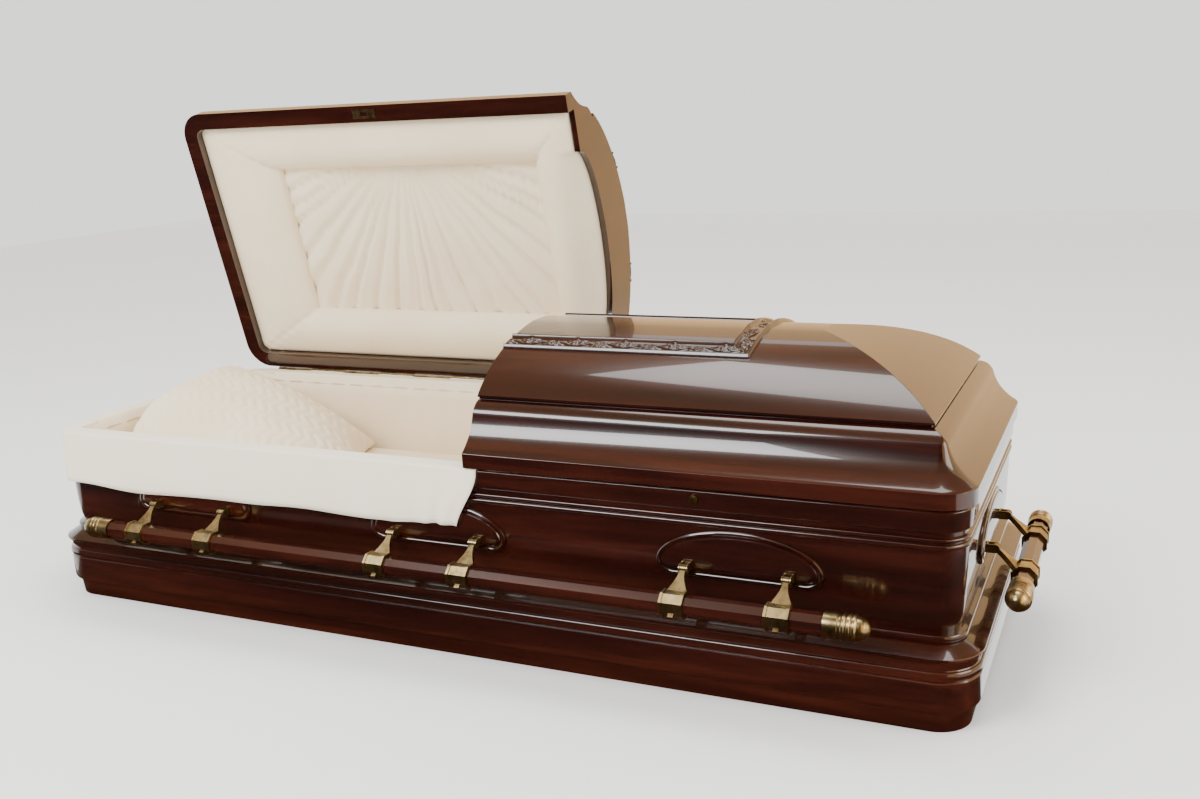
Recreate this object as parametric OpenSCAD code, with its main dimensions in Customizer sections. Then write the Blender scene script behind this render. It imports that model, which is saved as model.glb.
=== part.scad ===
// Half-couch wooden casket with a two-part domed lid, swing-bar handles and a cushioned interior.
// Length runs along X (head end at -X), the front faces -Y and Z points up. All sizes are in mm.
// The head half of the lid is drawn open on its stop, the foot half closed.

/* [Overall] */

// Length over the widest moulding of the base
overall_length = 2100; // [1700:10:2550]

// Width over the widest moulding of the base
overall_width = 750; // [620:5:920]

// Plan radius of the four corners at the widest moulding
corner_radius = 83; // [76:1:120]

// Height of the base rim above the floor
rim_height = 394; // [370:1:480]

// Rise of the lid dome above its own bottom edge
lid_rise = 234; // [215:1:290]

/* [Lids] */

// Where the two lids meet, measured from mid length
lid_split = 78; // [-200:1:200]

// Gap between the two lids
lid_gap = 3; // [1:0.5:6]

// Gap between the base rim and the closed lids
lid_seat_gap = 4; // [3.5:0.5:8]

// How far the head lid stands open
lid_open_angle = 76; // [60:1:88]

// Width of the flat rim under each lid
lid_rim_width = 40; // [30:1:50]

// Thickness of the board that closes the cut end of each lid
header_thickness = 14; // [8:1:24]

// Height of the carved border above the dome
carving_height = 9; // [4:1:14]

// Width of the carved border
carving_width = 46; // [30:1:60]

/* [Base] */

// Wall inset of the hollow from the widest moulding
cavity_inset = 62; // [56:1:72]

// Thickness of the bottom board
floor_thickness = 22; // [12:1:40]

/* [Handles] */

// Distance across the flats of the eight-sided handle bars
bar_width = 36; // [28:1:42]

// Visible wood length of the long bars
long_bar_length = 1606; // [1450:2:1660]

// Visible wood length of the end bars
end_bar_length = 320; // [270:2:360]

// Distance of a bar's middle from its arm pivots, measured outwards
bar_reach = 53; // [48:1:70]

// Distance of a bar's middle below its arm pivots
bar_drop = 47; // [38:1:52]

// Spacing of the three plates along each long side
plate_spacing = 628; // [560:2:640]

// Distance between the two arms of one plate
arm_spacing = 191; // [150:1:220]

// Length of a plate
plate_length = 313; // [270:1:340]

// Height of a plate
plate_height = 92; // [84:1:96]

/* [Soft goods] */

// Thickness of the velvet drape
drape_thickness = 2; // [1.5:0.5:3]

// Height of the drape's lower edge
drape_hem_height = 262; // [260:1:330]

// Height of the top of the mattress
mattress_height = 222; // [180:1:300]

/* [Hidden] */

half_len = overall_length / 2;
half_wid = overall_width / 2;
lid_bottom = rim_height + lid_seat_gap;
lid_inset = 18;
lid_inner_inset = lid_inset + lid_rim_width;
head_cut = lid_split - lid_gap / 2;
foot_cut = lid_split + lid_gap / 2;
hinge_y = half_wid - 15;
hinge_z = rim_height + 2;
plate_face_inset = 25;
plate_foot = 228;
pivot_inset = 11;
pivot_z = 248;
pin_r = 3;
band_width = 44;
arm_length = sqrt(bar_reach * bar_reach + bar_drop * bar_drop);
arm_lean = atan2(bar_reach, bar_drop);
bar_corner_r = bar_width / 2 / cos(22.5);
soft_gap = 0.4;
corner_steps = 7;
eps = 0.01;
running_fit = 0.08;

// ---- moulding curves: every profile point is [inset from the widest moulding, height] ----

// quarter curve that leaves straight up and arrives level
function rise_then_in(a, b, n) =
  [for (k = [0 : n]) let (t = 90 * k / n)
    [a[0] + (b[0] - a[0]) * (1 - cos(t)), a[1] + (b[1] - a[1]) * sin(t)]];

// quarter curve that leaves level and arrives straight up
function in_then_rise(a, b, n) =
  [for (k = [0 : n]) let (t = 90 * k / n)
    [a[0] + (b[0] - a[0]) * sin(t), a[1] + (b[1] - a[1]) * (1 - cos(t))]];

// half-round bead standing out from an upright face
function bead(inset, z0, z1, depth, n) =
  [for (k = [0 : n]) let (t = 180 * k / n)
    [inset - depth * sin(t), (z0 + z1) / 2 - (z1 - z0) / 2 * cos(t)]];

// smooth four-point curve
function bezier(a, b, c, d, n) =
  [for (k = [0 : n]) let (t = k / n, u = 1 - t)
    u * u * u * a + 3 * u * u * t * b + 3 * u * t * t * c + t * t * t * d];

// outside of the base: foot, skirt, bead, fascia, ledge, wall, two beads and the rim band
function base_outside() = concat(
  [[20, 0], [16, 37]],
  in_then_rise([13, 38], [5, 48], 3),
  [[5, 95], [8, 98]],
  bead(8, 99, 117, 5, 6),
  [[9, 119]],
  rise_then_in([9, 121], [1, 138], 3),
  [[0, 140], [0.6, 142.5], [14, 150], [28, 157]],
  bead(32, 158, 172, 3.5, 5),
  [[43, 174.5], [38.5, 192], [36, 208], [34.5, 225], [31, rim_height - 72]],
  bead(31, rim_height - 70, rim_height - 60, 4, 4),
  [[31, rim_height - 57]],
  bead(30, rim_height - 56, rim_height - 49, 3, 4),
  [[33, rim_height - 47], [33, rim_height - 41]],
  in_then_rise([31, rim_height - 39], [26, rim_height - 34], 3),
  [[24, rim_height - 3], [26, rim_height]]
);

// inside of the base hollow, from the rim down to the floor
function base_inside() = [
  [cavity_inset - 2, rim_height],
  [cavity_inset, rim_height - 2],
  [cavity_inset, floor_thickness]
];

// outside of a lid: edge band, ogee, groove and dome
function lid_outside() = let (z = lid_bottom, k = lid_rise / 234) concat(
  [[lid_inset, z], [lid_inset, z + 28], [lid_inset + 1.5, z + 30]],
  bezier([lid_inset + 5, z + 32], [47, z + 50 * k], [60, z + 66 * k], [68, z + 92 * k], 5),
  bezier([69.5, z + 97 * k], [73, z + 104 * k], [82, z + 114 * k], [96, z + 118 * k], 4),
  [[99, z + 118.5 * k], [99, z + 123 * k], [93, z + 123.5 * k]],
  bezier([93, z + 127 * k], [142, z + 175 * k], [half_wid * 0.61, z + 223 * k],
    [half_wid, z + 234 * k], 12)
);

// the dome stops a little short of the middle and is closed by a flat strip
lid_shell = [for (p = lid_outside()) if (p[0] < half_wid - 20) p];

// inside of a lid hollow, from the rim up to the crown
function lid_inside() = let (z = lid_bottom, k = lid_rise / 234) [
  [lid_inner_inset, z], [lid_inner_inset, z + 30], [80, z + 54 * k], [93, z + 88 * k],
  [119, z + 101 * k], [150, z + 141 * k], [200, z + 170 * k], [250, z + 191 * k],
  [300, z + 203 * k], [half_wid - 35, z + 209 * k]
];

// ---- plan outlines ----

function arc_points(cx, cy, r, a0, n) =
  [for (k = [0 : n]) let (a = a0 + 90 * k / n) [cx + r * cos(a), cy + r * sin(a)]];

function ring_radius(inset) = max(corner_radius - inset, 1);

// closed rounded rectangle at one inset and height
function full_ring(p) = let (
  r = ring_radius(p[0]), x = half_len - p[0] - r, y = half_wid - p[0] - r,
  flat = concat(
    arc_points(x, -y, r, 270, corner_steps), arc_points(x, y, r, 0, corner_steps),
    arc_points(-x, y, r, 90, corner_steps), arc_points(-x, -y, r, 180, corner_steps)))
  [for (q = flat) [q[0], q[1], p[1]]];

// the same outline from a cut across the length to the foot end and back
function cut_ring(p, cut, length) = let (
  r = ring_radius(p[0]), x = length - p[0] - r, y = half_wid - p[0] - r,
  flat = concat([[cut, -y - r]],
    arc_points(x, -y, r, 270, corner_steps), arc_points(x, y, r, 0, corner_steps),
    [[cut, y + r]]))
  [for (q = flat) [q[0], q[1], p[1]]];

function flatten(lists) = [for (l = lists) for (q = l) q];

// triangles between two closed rings of m points starting at a and b
function closed_band(a, b, m) = [for (k = [0 : m - 1]) let (j = (k + 1) % m)
  for (t = [[a + k, b + k, b + j], [a + k, b + j, a + j]]) t];

// triangles between two open rows of m points starting at a and b
function open_band(a, b, m) = [for (k = [0 : m - 2])
  for (t = [[a + k, b + k, b + k + 1], [a + k, b + k + 1, a + k + 1]]) t];

// ---- the base ----

module casket_base() {
  profile = concat(base_outside(), base_inside());
  m = 4 * (corner_steps + 1);
  n = len(profile);
  points = flatten([for (p = profile) full_ring(p)]);
  faces = concat(
    [[for (k = [0 : m - 1]) k]],
    flatten([for (i = [0 : n - 2]) closed_band(i * m, (i + 1) * m, m)]),
    [[for (k = [m - 1 : -1 : 0]) (n - 1) * m + k]]
  );
  color([0.30, 0.09, 0.04]) polyhedron(points, faces, 4);
}

// ---- the lids, drawn closed with the cut on the left and the end on the right ----

// lower edge of the header board: flat shoulders and an arch
function header_edge() = let (
  z = lid_bottom + 30, foot = half_wid - lid_inner_inset, spring = half_wid * 0.587,
  crown = 74 * lid_rise / 234)
  concat([[-foot, z]],
    [for (k = [0 : 16]) let (a = 180 - 180 * k / 16) [spring * cos(a), z + crown * sin(a)]],
    [[foot, z]]);

module lid_body(cut, length) {
  inside = lid_inside();
  m = 2 * (corner_steps + 1) + 2;
  no = len(lid_shell);
  ni = len(inside);
  back = cut + header_thickness;
  edge = header_edge();
  e = len(edge);
  arch = [for (q = edge) [cut, q[0], q[1]]];
  inner_arch = [for (k = [1 : e - 2]) [back, edge[k][0], edge[k][1]]];
  foot = half_wid - lid_inner_inset;
  points = concat(
    flatten([for (p = lid_shell) cut_ring(p, cut, length)]),
    flatten([for (p = inside) cut_ring(p, back, length)]),
    arch,
    inner_arch,
    [[cut, -foot, lid_bottom], [cut, foot, lid_bottom]]
  );
  i0 = no * m;
  a0 = i0 + ni * m;
  b0 = a0 + e;
  f0 = b0 + e - 2;
  row = concat([i0 + m], [for (k = [0 : e - 3]) b0 + k], [i0 + 2 * m - 1]);
  crown = floor(e / 2);
  apex = (no - 1) * m;
  cut_face_front = concat(
    [f0],
    [for (k = [0 : crown]) a0 + k],
    [for (i = [no - 1 : -1 : 0]) i * m]
  );
  cut_face_back = concat(
    [for (k = [crown : e - 1]) a0 + k],
    [f0 + 1],
    [for (i = [0 : no - 1]) i * m + m - 1],
    [apex]
  );
  inner_face = concat(
    [for (i = [ni - 1 : -1 : 1]) i0 + i * m + m - 1],
    [for (k = [e - 3 : -1 : 0]) b0 + k],
    [for (i = [1 : ni - 1]) i0 + i * m]
  );
  turn = m / 2 - 1;
  rim_face_front = concat(
    [for (k = [0 : turn]) k],
    [for (k = [turn : -1 : 0]) i0 + k],
    [f0]
  );
  rim_face_back = concat(
    [for (k = [turn : m - 1]) k],
    [f0 + 1],
    [for (k = [m - 1 : -1 : turn]) i0 + k]
  );
  faces = concat(
    flatten([for (i = [0 : no - 2]) open_band(i * m, (i + 1) * m, m)]),
    [[for (k = [m - 1 : -1 : 0]) (no - 1) * m + k]],
    flatten([for (i = [0 : ni - 2]) open_band(i0 + (i + 1) * m, i0 + i * m, m)]),
    [[for (k = [0 : m - 1]) i0 + (ni - 1) * m + k]],
    [for (k = [0 : e - 2]) for (t = [
      [a0 + k, row[k + 1], a0 + k + 1], [a0 + k, row[k], row[k + 1]]]) t],
    [[f0, row[0], a0], [f0, i0, row[0]]],
    [[f0 + 1, a0 + e - 1, row[e - 1]], [f0 + 1, row[e - 1], i0 + m - 1]],
    [cut_face_front, cut_face_back, inner_face, rim_face_front, rim_face_back]
  );
  polyhedron(points, faces, 4);
}

// height of the dome at a distance y from the middle
function dome_at(y) = lookup(half_wid - abs(y),
  [for (i = [len(lid_shell) - 12 : len(lid_shell) - 1]) lid_shell[i]]);

// carved border: a frame that follows the dome and stands above it
module carved_border(cut, border_end) {
  outer = half_wid * 0.448;
  inner = outer - carving_width;
  steps = 12;
  module slice(half, low, high, x0, x1) {
    ys = [for (k = [-steps : steps]) half * k / steps];
    translate([x0, 0, 0]) rotate([90, 0, 90]) linear_extrude(x1 - x0) polygon(concat(
      [for (y = ys) [y, dome_at(y) + high]],
      [for (k = [len(ys) - 1 : -1 : 0]) [ys[k], dome_at(ys[k]) + low]]));
  }
  difference() {
    slice(outer, -6, carving_height, cut, border_end);
    slice(inner, -20, 20, cut - 1, border_end - carving_width);
  }
}

module wood_lid(cut, length) {
  color([0.30, 0.09, 0.04]) union() {
    lid_body(cut, length);
    carved_border(cut, length * 0.571);
  }
}

// turns something drawn closed on the head lid to its open position
module opened() {
  translate([0, hinge_y, hinge_z]) rotate([-lid_open_angle, 0, 0])
    translate([0, -hinge_y, -hinge_z]) children();
}

module head_lid() {
  opened() mirror([1, 0, 0]) wood_lid(-head_cut, half_len);
}

module foot_lid() {
  wood_lid(foot_cut, half_len);
}

// ---- plain solids with rounded corners ----

module rounded_plan(inset, r) {
  x = half_len - inset;
  y = half_wid - inset;
  union() {
    translate([-x, -y + r]) square([2 * x, 2 * (y - r)]);
    translate([-x + r, -y]) square([2 * (x - r), 2 * y]);
    for (sx = [-1, 1]) for (sy = [-1, 1]) translate([sx * (x - r), sy * (y - r)]) circle(r = r);
  }
}

module plan_slab(inset, z0, z1) {
  translate([0, 0, z0]) linear_extrude(z1 - z0) rounded_plan(inset, ring_radius(inset));
}

module box_between(a, b) {
  translate(a) cube(b - a);
}

// ---- soft goods ----

module side_lining() {
  outer = cavity_inset + soft_gap;
  color([0.93, 0.88, 0.78]) difference() {
    plan_slab(outer, floor_thickness + soft_gap, rim_height - 16);
    plan_slab(outer + 13, floor_thickness - 1, rim_height);
  }
}

module mattress() {
  color([0.94, 0.90, 0.81])
    plan_slab(cavity_inset + 14, floor_thickness + soft_gap, mattress_height);
}

// pillow: a wedge that leans on the head end, swells in the middle and slopes to the bed
module pillow() {
  x0 = -half_len + 95;
  x1 = -half_len + 655;
  y1 = half_wid - 113;
  low = mattress_height + soft_gap;
  edge = lid_bottom - 3;
  swell = 42;
  n = 16;
  function bump(t) = t <= 0 || t >= 1 ? 0 : swell * pow(sin(180 * t), 2);
  along = [for (k = [0 : n]) let (t = k / n, x = x0 + 170 + (x1 - x0 - 170) * t)
    [x, low + 35 + (edge - low - 35) * (1 - t * t) + bump(t)]];
  across = [for (k = [0 : n]) let (y = (half_wid * 0.49) * (2 * k / n - 1))
    [y, edge + bump(k / n)]];
  color([0.95, 0.91, 0.82]) intersection() {
    translate([0, y1, 0]) rotate([90, 0, 0]) linear_extrude(2 * y1) polygon(concat(
      [[x1, low]],
      [for (k = [n : -1 : 0]) along[k]],
      [[x0 + 14, edge], [x0, edge - 14], [x0, low]]));
    translate([x0, 0, 0]) rotate([90, 0, 90]) linear_extrude(x1 - x0) polygon(concat(
      [[-y1, low], [-y1, edge - 14], [-y1 + 14, edge]], across,
      [[y1 - 14, edge], [y1, edge - 14], [y1, low]]));
  }
}

// velvet drape over the front rim and round the head corner
module rim_drape() {
  inner = 24 - soft_gap;
  outer = inner - drape_thickness;
  top = rim_height + soft_gap + drape_thickness;
  lip = cavity_inset + soft_gap;
  color([0.92, 0.89, 0.83]) intersection() {
    union() {
      difference() {
        plan_slab(outer, drape_hem_height, top);
        plan_slab(inner, drape_hem_height - 1, top + 1);
      }
      difference() {
        plan_slab(outer, rim_height + soft_gap, top);
        plan_slab(lip + drape_thickness, rim_height - 1, top + 1);
      }
      difference() {
        plan_slab(lip, rim_height - 14, top);
        plan_slab(lip + drape_thickness, rim_height - 15, top + 1);
      }
    }
    union() {
      box_between([-half_len, -half_wid, 0], [lid_split - 18, -half_wid + 80, top + 1]);
      box_between([-half_len, -half_wid, 0], [-half_len + 90, -half_wid + 105, top + 1]);
    }
  }
}

// frame of four rolls round the inside of the head lid
module head_lid_rolls() {
  x0 = -half_len;
  opening_left = -half_len + 262;
  opening_right = head_cut - 125;
  opening_y = half_wid * 0.52;
  step = lid_bottom + 28;
  module bounded(inset, z0, z1) {
    intersection() {
      plan_slab(inset, z0, z1);
      box_between([x0, -half_wid, z0 - 1],
        [head_cut - header_thickness - soft_gap, half_wid, z1 + 1]);
    }
  }
  color([0.95, 0.91, 0.83]) opened() difference() {
    union() {
      bounded(lid_inner_inset + 1, lid_bottom + 4, step);
      bounded(lid_inner_inset + 25, step - eps, lid_bottom + 52);
    }
    box_between([opening_left, -opening_y, lid_bottom], [opening_right, opening_y, lid_bottom + 60]);
  }
}

// shirred panel behind the opening of the rolls
module head_lid_panel() {
  z0 = lid_bottom + 52 + soft_gap;
  color([0.96, 0.93, 0.86]) opened()
    box_between([-half_len + 240, -half_wid * 0.56, z0],
      [head_cut - 105, half_wid * 0.56, z0 + 12]);
}

module foot_lid_lining() {
  color([0.95, 0.91, 0.83]) intersection() {
    plan_slab(lid_inner_inset + 1, lid_bottom + 4, lid_bottom + 26);
    box_between([foot_cut + header_thickness + soft_gap, -half_wid, lid_bottom],
      [half_len, half_wid, lid_bottom + 27]);
  }
}

// ---- brass fittings of the rim and lids ----

module keyhole_escutcheon() {
  face = -half_wid + 24.4;
  color([0.75, 0.62, 0.32]) translate([half_len * 0.524, face - soft_gap, rim_height - 17])
    rotate([90, 0, 0]) difference() {
      union() {
        cylinder(h = 3, r = 8);
        cylinder(h = 4.5, r = 6);
      }
      translate([0, 0, 2]) cylinder(h = 4, r = 2.2);
      translate([-1, -5, 2]) cube([2, 5, 4]);
    }
}

module latch_plate() {
  color([0.75, 0.62, 0.32]) opened()
    translate([-half_len * 0.441, -half_wid + 38, lid_bottom - 1.1]) difference() {
      translate([-32, -11, 0]) cube([64, 22, 1]);
      translate([-10, -5, -1]) cube([20, 10, 3]);
      for (sx = [-1, 1]) translate([sx * 24, 0, -1]) cylinder(h = 3, r = 2);
    }
}

// knuckles of the long lid hinge: the base owns the even ones, a lid the odd ones
knuckle_r = 2.6;
hinge_rod_r = 1.2;
knuckle_count = 9;

module knuckles(x0, x1, first, bore) {
  pitch = (x1 - x0) / knuckle_count;
  for (k = [first : 2 : knuckle_count - 1])
    translate([x0 + k * pitch + 0.4, hinge_y, hinge_z]) rotate([0, 90, 0]) difference() {
      cylinder(h = pitch - 0.8, r = knuckle_r);
      if (bore > 0) translate([0, 0, -1]) cylinder(h = pitch + 2, r = bore);
    }
}

head_hinge = [-half_len + 110, head_cut - 12];
foot_hinge = [foot_cut + 12, half_len - 110];

module hinge_base_leaf() {
  band = half_wid - 24;
  color([0.72, 0.60, 0.34]) union() {
    for (h = [head_hinge, foot_hinge]) {
      pitch = (h[1] - h[0]) / knuckle_count;
      knuckles(h[0], h[1], 0, 0);
      translate([h[0] + 0.4, hinge_y, hinge_z]) rotate([0, 90, 0])
        cylinder(h = h[1] - h[0] - 0.8, r = hinge_rod_r);
      for (k = [0 : 2 : knuckle_count - 1])
        box_between([h[0] + k * pitch + 0.4, band + 0.2, hinge_z - 5],
          [h[0] + (k + 1) * pitch - 0.4, hinge_y, hinge_z - 1.2]);
    }
    box_between([head_hinge[0] + 0.4, band + 0.2, rim_height - 26],
      [foot_hinge[1] - 0.4, band + 1.6, rim_height - 1.5]);
  }
}

module lid_leaf(h) {
  band = half_wid - lid_inset;
  pitch = (h[1] - h[0]) / knuckle_count;
  union() {
    knuckles(h[0], h[1], 1, hinge_rod_r + running_fit);
    for (k = [1 : 2 : knuckle_count - 1])
      box_between([h[0] + k * pitch + 0.4, band + 0.2, hinge_z + 1.5],
        [h[0] + (k + 1) * pitch - 0.4, hinge_y, lid_bottom + 4]);
    box_between([h[0] + 0.4, band + 0.2, lid_bottom + 1.5],
      [h[1] - 0.4, band + 1.6, lid_bottom + 24]);
  }
}

module head_lid_hinge() {
  color([0.72, 0.60, 0.34]) opened() lid_leaf(head_hinge);
}

module foot_lid_hinge() {
  color([0.72, 0.60, 0.34]) lid_leaf(foot_hinge);
}

// ---- handle plates, lugs, arms, bars and caps ----
// Each is drawn at a long side's middle, facing -Y, then moved to its side and place.

// puts something drawn for the front on a side: 0 front, 1 foot end, 2 back, 3 head end
module on_side(side) {
  shift = side % 2 == 0 ? 0 : half_len - half_wid;
  rotate([0, 0, 90 * side]) translate([0, -shift, 0]) children();
}

// half-oval outline with rounded lower corners, made smaller by rim
function plate_outline(rim) = let (
  w = plate_length / 2 - rim, low = plate_foot + rim, mid = plate_foot + 25,
  top = plate_foot + plate_height - rim, c = 26)
  concat(
    [for (k = [0 : 24]) let (a = 180 * k / 24) [w * cos(a), mid + (top - mid) * sin(a)]],
    [for (k = [1 : 6]) let (a = 180 + 90 * k / 6)
      [-w + c + c * cos(a), mid + (mid - low) * sin(a)]],
    [for (k = [0 : 5]) let (a = 270 + 90 * k / 6) [w - c + c * cos(a), mid + (mid - low) * sin(a)]]);

module plate() {
  face = -half_wid + plate_face_inset;
  module layer(rim, back) {
    translate([0, -half_wid + 50, 0]) rotate([90, 0, 0])
      linear_extrude(50 - plate_face_inset - back) polygon(plate_outline(rim));
  }
  module wall_side() {
    gap = 0.15;
    translate([-plate_length, 0, 0]) rotate([90, 0, 90]) linear_extrude(2 * plate_length) polygon([
      [face - 1, 220], [face - 1, 326], [-half_wid + 31 - gap, rim_height - 72],
      [-half_wid + 34.5 - gap, 225], [-half_wid + 34.7 - gap, 220]]);
  }
  color([0.26, 0.07, 0.03]) difference() {
    intersection() {
      union() {
        layer(0, 3.5);
        layer(6, 1.5);
        layer(11, 0);
      }
      wall_side();
    }
    box_between([-arm_spacing / 2 - 12.5, -half_wid + 30.4, pivot_z - 8.5],
      [arm_spacing / 2 + 12.5, -half_wid + 40, pivot_z + 7.5]);
    for (s = [-1, 1])
      box_between([s * arm_spacing / 2 - 9.3, face - 1, pivot_z - 9.3],
        [s * arm_spacing / 2 + 9.3, -half_wid + 40, pivot_z + 9.3]);
  }
}

// two ears on a strap that is let into the back of the plate
module lugs() {
  face = -half_wid + plate_face_inset;
  pivot_y = -half_wid + pivot_inset;
  color([0.78, 0.66, 0.36]) union() {
    box_between([-arm_spacing / 2 - 12, -half_wid + 30.7, pivot_z - 8],
      [arm_spacing / 2 + 12, -half_wid + 33, pivot_z + 7]);
    for (s = [-1, 1]) translate([s * arm_spacing / 2, 0, 0]) {
      box_between([-9, face - 1.5, pivot_z - 9], [9, -half_wid + 31, pivot_z + 9]);
      for (c = [-1, 1]) translate([c * 7.2 - 1.5, 0, 0]) {
        box_between([0, pivot_y, pivot_z - 8], [3, face, pivot_z + 8]);
        translate([0, pivot_y, pivot_z]) rotate([0, 90, 0]) cylinder(h = 3, r = 8);
      }
      translate([-8.7, pivot_y, pivot_z]) rotate([0, 90, 0]) cylinder(h = 17.4, r = pin_r);
    }
  }
}

// one arm: eye on the pin, flared shank and a collar round the bar
module arm() {
  pivot_y = -half_wid + pivot_inset;
  collar_r = bar_corner_r + 4;
  shank_end = arm_length - bar_width / 2 - 1;
  n = 10;
  function half_width(t) = 5 + 15 * pow(sin(90 * t), 2) * t;
  edge = [for (k = [0 : n]) let (t = k / n) [half_width(t), -shank_end * t]];
  color([0.78, 0.66, 0.36]) translate([0, pivot_y, pivot_z]) rotate([-arm_lean, 0, 0])
    difference() {
      union() {
        translate([-5, 0, 0]) rotate([0, 90, 0]) cylinder(h = 10, r = 7.6);
        translate([0, 4.5, 0]) rotate([90, 0, 0]) linear_extrude(9) polygon(concat(edge,
          [for (k = [n : -1 : 0]) [-edge[k][0], edge[k][1]]]));
        translate([0, 0, -arm_length]) rotate([0, 90, 0]) rotate([0, 0, 22.5 + arm_lean]) {
          translate([0, 0, -band_width / 2]) cylinder(h = band_width, r = collar_r, $fn = 8);
          for (z = [-band_width / 2, band_width / 2 - 5])
            translate([0, 0, z]) cylinder(h = 5, r = collar_r + 2, $fn = 8);
        }
        translate([-5, -3, -arm_length - collar_r - 4]) cube([10, 6, 8]);
      }
      translate([-6, 0, 0]) rotate([0, 90, 0]) cylinder(h = 12, r = pin_r + running_fit);
      translate([0, 0, -arm_length]) rotate([0, 90, 0]) rotate([0, 0, 22.5 + arm_lean])
        translate([0, 0, -band_width]) cylinder(h = 2 * band_width, r = bar_corner_r + 0.1, $fn = 8);
    }
}

module place_bar() {
  translate([0, -half_wid + pivot_inset - bar_reach, pivot_z - bar_drop]) children();
}

socket = 12;

module bar(wood) {
  length = wood + 2 * socket;
  color([0.33, 0.11, 0.05]) place_bar() translate([-length / 2, 0, 0]) rotate([0, 90, 0])
    rotate([0, 0, 22.5]) cylinder(h = length, r = bar_corner_r, $fn = 8);
}

// turned cap: collar, rings and a domed end
module cap(wood, s) {
  r = bar_corner_r;
  outline = concat(
    [[0, socket + 2], [r + 0.3, socket + 2], [r + 0.3, 0], [r + 2.6, 0], [r + 2.6, 24]],
    [[r + 0.5, 26], [r + 0.5, 29]],
    [for (k = [0 : 3]) for (q = [[r + 2, 30 + 9 * k], [r + 3.6, 32 + 9 * k],
      [r + 3.6, 36 + 9 * k], [r + 1.6, 38 + 9 * k]]) if (k < 3) q],
    [for (k = [0 : 8]) let (a = 90 * k / 8) [(r + 1) * cos(a), 57 + 21 * sin(a)]]);
  color([0.78, 0.66, 0.36]) place_bar() mirror([s < 0 ? 1 : 0, 0, 0])
    translate([wood / 2, 0, 0]) rotate([0, 90, 0]) rotate_extrude() polygon(outline);
}

module side_plate(side, k) {
  on_side(side) translate([k * plate_spacing, 0, 0]) plate();
}

module side_lugs(side, k) {
  on_side(side) translate([k * plate_spacing, 0, 0]) lugs();
}

// arms are numbered along the side, two to a plate
module side_arm(side, k, s) {
  on_side(side) translate([k * plate_spacing + s * arm_spacing / 2, 0, 0]) arm();
}

casket_base();
side_lining();
mattress();
pillow();
rim_drape();
keyhole_escutcheon();
hinge_base_leaf();
head_lid();
head_lid_rolls();
head_lid_panel();
latch_plate();
head_lid_hinge();
foot_lid();
foot_lid_lining();
foot_lid_hinge();

side_plate(0, -1);  // plate_front_head
side_plate(0, 0);  // plate_front_mid
side_plate(0, 1);  // plate_front_foot
side_plate(2, 1);  // plate_back_head
side_plate(2, 0);  // plate_back_mid
side_plate(2, -1);  // plate_back_foot
side_plate(3, 0);  // plate_head_end
side_plate(1, 0);  // plate_foot_end

side_lugs(0, -1);  // lugs_front_head
side_lugs(0, 0);  // lugs_front_mid
side_lugs(0, 1);  // lugs_front_foot
side_lugs(2, 1);  // lugs_back_head
side_lugs(2, 0);  // lugs_back_mid
side_lugs(2, -1);  // lugs_back_foot
side_lugs(3, 0);  // lugs_head_end
side_lugs(1, 0);  // lugs_foot_end

on_side(0) bar(long_bar_length);  // front_bar
on_side(0) cap(long_bar_length, -1);  // front_cap_head
on_side(0) cap(long_bar_length, 1);  // front_cap_foot
side_arm(0, -1, -1);  // front_arm_1
side_arm(0, -1, 1);  // front_arm_2
side_arm(0, 0, -1);  // front_arm_3
side_arm(0, 0, 1);  // front_arm_4
side_arm(0, 1, -1);  // front_arm_5
side_arm(0, 1, 1);  // front_arm_6

on_side(2) bar(long_bar_length);  // back_bar
on_side(2) cap(long_bar_length, 1);  // back_cap_head
on_side(2) cap(long_bar_length, -1);  // back_cap_foot
side_arm(2, 1, 1);  // back_arm_1
side_arm(2, 1, -1);  // back_arm_2
side_arm(2, 0, 1);  // back_arm_3
side_arm(2, 0, -1);  // back_arm_4
side_arm(2, -1, 1);  // back_arm_5
side_arm(2, -1, -1);  // back_arm_6

on_side(3) bar(end_bar_length);  // head_end_bar
on_side(3) cap(end_bar_length, 1);  // head_end_cap_front
on_side(3) cap(end_bar_length, -1);  // head_end_cap_back
side_arm(3, 0, 1);  // head_end_arm_1
side_arm(3, 0, -1);  // head_end_arm_2

on_side(1) bar(end_bar_length);  // foot_end_bar
on_side(1) cap(end_bar_length, -1);  // foot_end_cap_front
on_side(1) cap(end_bar_length, 1);  // foot_end_cap_back
side_arm(1, 0, -1);  // foot_end_arm_1
side_arm(1, 0, 1);  // foot_end_arm_2
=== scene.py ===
import math

import bmesh
import bpy
import numpy as np
from mathutils import Matrix, Vector


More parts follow.
